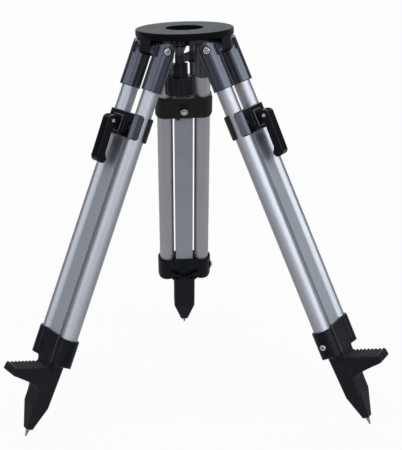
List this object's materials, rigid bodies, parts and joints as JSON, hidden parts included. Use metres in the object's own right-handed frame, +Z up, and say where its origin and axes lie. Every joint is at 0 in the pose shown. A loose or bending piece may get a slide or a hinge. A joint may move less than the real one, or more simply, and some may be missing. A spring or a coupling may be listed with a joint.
{
  "type": "construction tripod",
  "caption": "Low flat-head construction tripod: bored round head with a fixing screw on a swing arm, hinged tubular legs that slide out under lever clamps, spiked feet with toothed pedals.",
  "frame": {"origin": "centre of the head's seat face, on the bore axis", "axes": "+Z up along the bore axis, away from the ground; the back leg points along +Y and the other legs towards -X and +X at the front"},
  "size_m": [0.545, 0.4724, 0.5585],
  "materials": {
    "head_coat": "dark grey satin powder coat",
    "sleeve_plastic": "satin black moulded plastic",
    "tube_aluminium": "silver anodised",
    "rail_aluminium": "silver anodised, matt",
    "jaw_gloss": "black, semi-gloss moulded",
    "inner_jaw_plastic": "black moulded plastic",
    "lever_gloss": "black, semi-gloss moulded",
    "bridge_plastic": "satin black moulded plastic",
    "foot_plastic": "matt black moulded plastic",
    "knob_plastic": "black moulded plastic, ribbed",
    "bush_plastic": "black acetal",
    "zinc": "bright zinc plate",
    "dark_steel": "dark plated steel",
    "arm_steel": "black coated steel strap",
    "spike_steel": "turned steel"
  },
  "bodies": {
    "head": {"head_plate": "head_coat", "hinge_bolts": "zinc", "hinge_nuts": "zinc", "friction_washers": "bush_plastic", "pivot_bolt": "dark_steel", "pivot_washer": "dark_steel"},
    "left_upper_leg": {"left_sleeve_a": "sleeve_plastic", "left_sleeve_b": "sleeve_plastic", "left_tube_a": "tube_aluminium", "left_tube_b": "tube_aluminium", "left_bridge": "bridge_plastic", "left_bridge_screw": "zinc"},
    "left_lower_leg": {"left_rail": "rail_aluminium", "left_outer_jaw": "jaw_gloss", "left_inner_jaw": "inner_jaw_plastic", "left_tension_bolt": "zinc", "left_tension_nut": "zinc", "left_lever_pin": "zinc", "left_foot": "foot_plastic", "left_spike": "spike_steel", "left_foot_pin": "dark_steel"},
    "left_lever": {"left_clamp_lever": "lever_gloss"},
    "right_upper_leg": {"right_sleeve_a": "sleeve_plastic", "right_sleeve_b": "sleeve_plastic", "right_tube_a": "tube_aluminium", "right_tube_b": "tube_aluminium", "right_bridge": "bridge_plastic", "right_bridge_screw": "zinc"},
    "right_lower_leg": {"right_rail": "rail_aluminium", "right_outer_jaw": "jaw_gloss", "right_inner_jaw": "inner_jaw_plastic", "right_tension_bolt": "zinc", "right_tension_nut": "zinc", "right_lever_pin": "zinc", "right_foot": "foot_plastic", "right_spike": "spike_steel", "right_foot_pin": "dark_steel"},
    "right_lever": {"right_clamp_lever": "lever_gloss"},
    "back_upper_leg": {"back_sleeve_a": "sleeve_plastic", "back_sleeve_b": "sleeve_plastic", "back_tube_a": "tube_aluminium", "back_tube_b": "tube_aluminium", "back_bridge": "bridge_plastic", "back_bridge_screw": "zinc"},
    "back_lower_leg": {"back_rail": "rail_aluminium", "back_outer_jaw": "jaw_gloss", "back_inner_jaw": "inner_jaw_plastic", "back_tension_bolt": "zinc", "back_tension_nut": "zinc", "back_lever_pin": "zinc", "back_foot": "foot_plastic", "back_spike": "spike_steel", "back_foot_pin": "dark_steel"},
    "back_lever": {"back_clamp_lever": "lever_gloss"},
    "lift": {"lift_ring": "bush_plastic"},
    "arm": {"swing_arm": "arm_steel"},
    "screw": {"fixing_screw": "dark_steel", "knob": "knob_plastic", "retaining_cup": "dark_steel"}
  },
  "joints": [
    {"name": "left_leg_swing", "type": "hinge", "parent": "head", "child": "left_upper_leg", "pos_m": [-0.04798, -0.0277, -0.0244], "axis": [-0.5, 0.866, 0], "range_deg": [-23, 31]},
    {"name": "left_leg_slide", "type": "slide", "parent": "left_upper_leg", "child": "left_lower_leg", "axis": [-0.3495, -0.2018, -0.915], "range_m": [0, 0.285]},
    {"name": "left_lever_swing", "type": "hinge", "parent": "left_lower_leg", "child": "left_lever", "pos_m": [-0.10889, -0.06287, -0.11622], "axis": [-0.5, 0.866, 0], "range_deg": [0, 120]},
    {"name": "right_leg_swing", "type": "hinge", "parent": "head", "child": "right_upper_leg", "pos_m": [0.04798, -0.0277, -0.0244], "axis": [-0.5, -0.866, 0], "range_deg": [-23, 31]},
    {"name": "right_leg_slide", "type": "slide", "parent": "right_upper_leg", "child": "right_lower_leg", "axis": [0.3495, -0.2018, -0.915], "range_m": [0, 0.285]},
    {"name": "right_lever_swing", "type": "hinge", "parent": "right_lower_leg", "child": "right_lever", "pos_m": [0.10889, -0.06287, -0.11622], "axis": [-0.5, -0.866, 0], "range_deg": [0, 120]},
    {"name": "back_leg_swing", "type": "hinge", "parent": "head", "child": "back_upper_leg", "pos_m": [0, 0.0554, -0.0244], "axis": [1, 0, 0], "range_deg": [-23, 31]},
    {"name": "back_leg_slide", "type": "slide", "parent": "back_upper_leg", "child": "back_lower_leg", "axis": [0, 0.4035, -0.915], "range_m": [0, 0.285]},
    {"name": "back_lever_swing", "type": "hinge", "parent": "back_lower_leg", "child": "back_lever", "pos_m": [0, 0.12574, -0.11622], "axis": [1, 0, 0], "range_deg": [0, 120]},
    {"name": "screw_lift", "type": "slide", "parent": "head", "child": "lift", "axis": [0, 0, 1], "range_m": [0, 0.0265]},
    {"name": "arm_swing", "type": "hinge", "parent": "lift", "child": "arm", "pos_m": [0.01116, 0.03296, -0.01], "axis": [0, 0, 1], "range_deg": [-10, 40]},
    {"name": "screw_spin", "type": "hinge", "parent": "arm", "child": "screw", "pos_m": [-0.00769, 0.00371, -0.045], "axis": [0, 0, 1], "continuous": true}
  ]
}
